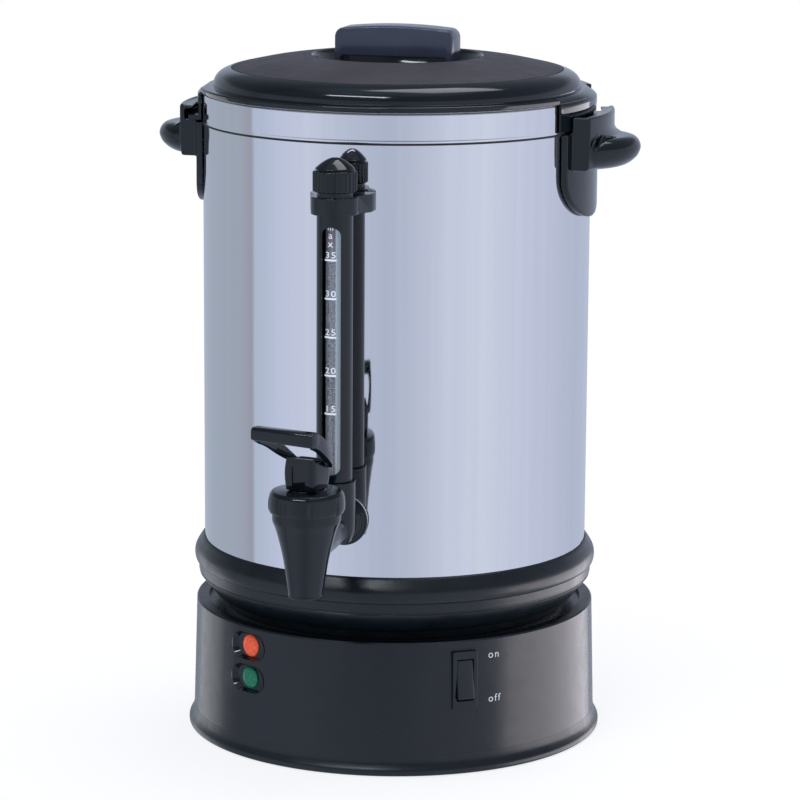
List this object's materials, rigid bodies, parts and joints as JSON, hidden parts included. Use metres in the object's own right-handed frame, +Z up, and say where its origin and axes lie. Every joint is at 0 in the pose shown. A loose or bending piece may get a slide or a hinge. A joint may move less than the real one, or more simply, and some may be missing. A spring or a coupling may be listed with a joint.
{
  "type": "coffee urn",
  "caption": "Percolator coffee urn: mirror steel tank on a black base, with a sight gauge, a spring tap, a twist-lock lid, side handles, lamps and a rocker switch.",
  "frame": {"origin": "on the tank's axis, on the underside of the base plate, where the urn stands", "axes": "+Z up along the tank's axis, -Y towards the tap, the side handles on +X and -X"},
  "size_m": [0.28, 0.3383, 0.405],
  "materials": {
    "mirror_steel": "mirror-polished stainless steel, drawn vertically",
    "inner_steel": "bright drawn stainless steel",
    "zinc": "zinc-plated steel",
    "heater_metal": "cast or pressed aluminium",
    "brass": "plain brass",
    "black_gloss": "glossy moulded plastic",
    "black_satin": "satin moulded plastic",
    "black_matte": "matte fine-grained plastic",
    "black_rubber": "plain rubber",
    "grey_plastic": "plain moulded plastic",
    "wire_insulation": "heat-proof sleeve",
    "silicone": "translucent silicone",
    "orange_lens": "faceted translucent orange plastic",
    "green_lens": "faceted translucent green plastic",
    "clear_glass": "clear glass tube"
  },
  "bodies": {
    "root": {"foot_ring": "black_satin", "base_plate": "zinc", "foot_pads": "black_rubber", "base_screws": "zinc", "base_housing": "black_gloss", "lamp_bezels": "black_gloss", "heating_lamp_lens": "orange_lens", "warm_lamp_lens": "green_lens", "lamp_bodies": "grey_plastic", "switch_frame": "black_satin", "switch_body": "grey_plastic", "power_inlet": "black_satin", "inlet_pins": "brass", "inlet_screws": "zinc", "wiring": "wire_insulation", "neck_collar": "black_satin", "tank_studs": "zinc", "stud_nuts": "zinc", "stud_spacers": "zinc", "heat_shield": "heater_metal", "main_heater": "heater_metal", "warm_heater": "heater_metal", "thermostat": "grey_plastic", "thermal_fuse": "zinc", "tank_shell": "mirror_steel", "pump_well": "inner_steel", "rim_band": "mirror_steel", "handle_left": "black_gloss", "handle_right": "black_gloss", "handle_screws": "zinc", "tap_shank": "black_satin", "shank_gaskets": "silicone", "shank_nut": "zinc", "tap_body": "black_satin", "tap_bonnet": "black_satin", "gauge_shield": "black_satin", "gauge_glass": "clear_glass", "gauge_seals": "silicone", "gauge_clip": "black_satin", "clip_screw": "zinc"},
    "lid_seal": {"lid_gasket": "silicone"},
    "lid": {"lid_ring": "black_gloss", "lid_dome": "black_matte", "lid_bowl": "black_gloss", "lid_handle": "black_gloss", "lid_liner": "inner_steel", "lid_spacers": "zinc", "lid_screws": "zinc"},
    "rocker": {"switch_rocker": "black_satin"},
    "stem": {"tap_stem": "inner_steel", "seat_cup": "silicone", "tap_spring": "inner_steel"},
    "lever": {"tap_lever": "black_gloss", "lever_pin": "inner_steel"},
    "gauge_seal": {"cap_seal": "silicone"},
    "gauge_knob": {"gauge_cap": "black_satin"},
    "brew_set": {"pump_tube": "inner_steel", "pump_foot": "inner_steel", "coffee_basket": "inner_steel", "basket_cover": "inner_steel"}
  },
  "joints": [
    {"name": "lid_lift", "type": "slide", "parent": "root", "child": "lid_seal", "axis": [0, 0, 1], "range_m": [0, 0.08]},
    {"name": "lid_turn", "type": "hinge", "parent": "lid_seal", "child": "lid", "pos_m": [0, 0, 0.3675], "axis": [0, 0, 1], "range_deg": [0, 50]},
    {"name": "rocker_tip", "type": "hinge", "parent": "root", "child": "rocker", "pos_m": [0.06497, -0.09489, 0.053], "axis": [0.8251, 0.565, 0], "range_deg": [0, 18]},
    {"name": "stem_lift", "type": "slide", "parent": "root", "child": "stem", "axis": [0, 0, 1], "range_m": [0, 0.004], "deforming": ["tap_spring"]},
    {"name": "lever_press", "type": "hinge", "parent": "stem", "child": "lever", "pos_m": [0, -0.186, 0.1865], "axis": [0.9744, -0.225, 0], "range_deg": [0, 25], "stiffness_Nm_per_rad": 0.06, "springref_deg": -17.19},
    {"name": "cap_rise", "type": "slide", "parent": "root", "child": "gauge_seal", "axis": [0, 0, 1], "range_m": [0, 0.004]},
    {"name": "cap_turn", "type": "hinge", "parent": "gauge_seal", "child": "gauge_knob", "pos_m": [0, -0.13, 0.333], "axis": [0, 0, 1], "range_deg": [0, 720]},
    {"name": "brew_lift", "type": "slide", "parent": "root", "child": "brew_set", "axis": [0, 0, 1], "range_m": [0, 0.01]}
  ],
  "couplings": [
    {"joint": "lever_press", "follows": "stem_lift", "rad_per_m": 109.08},
    {"joint": "cap_turn", "follows": "cap_rise", "rad_per_m": 3141.5}
  ]
}
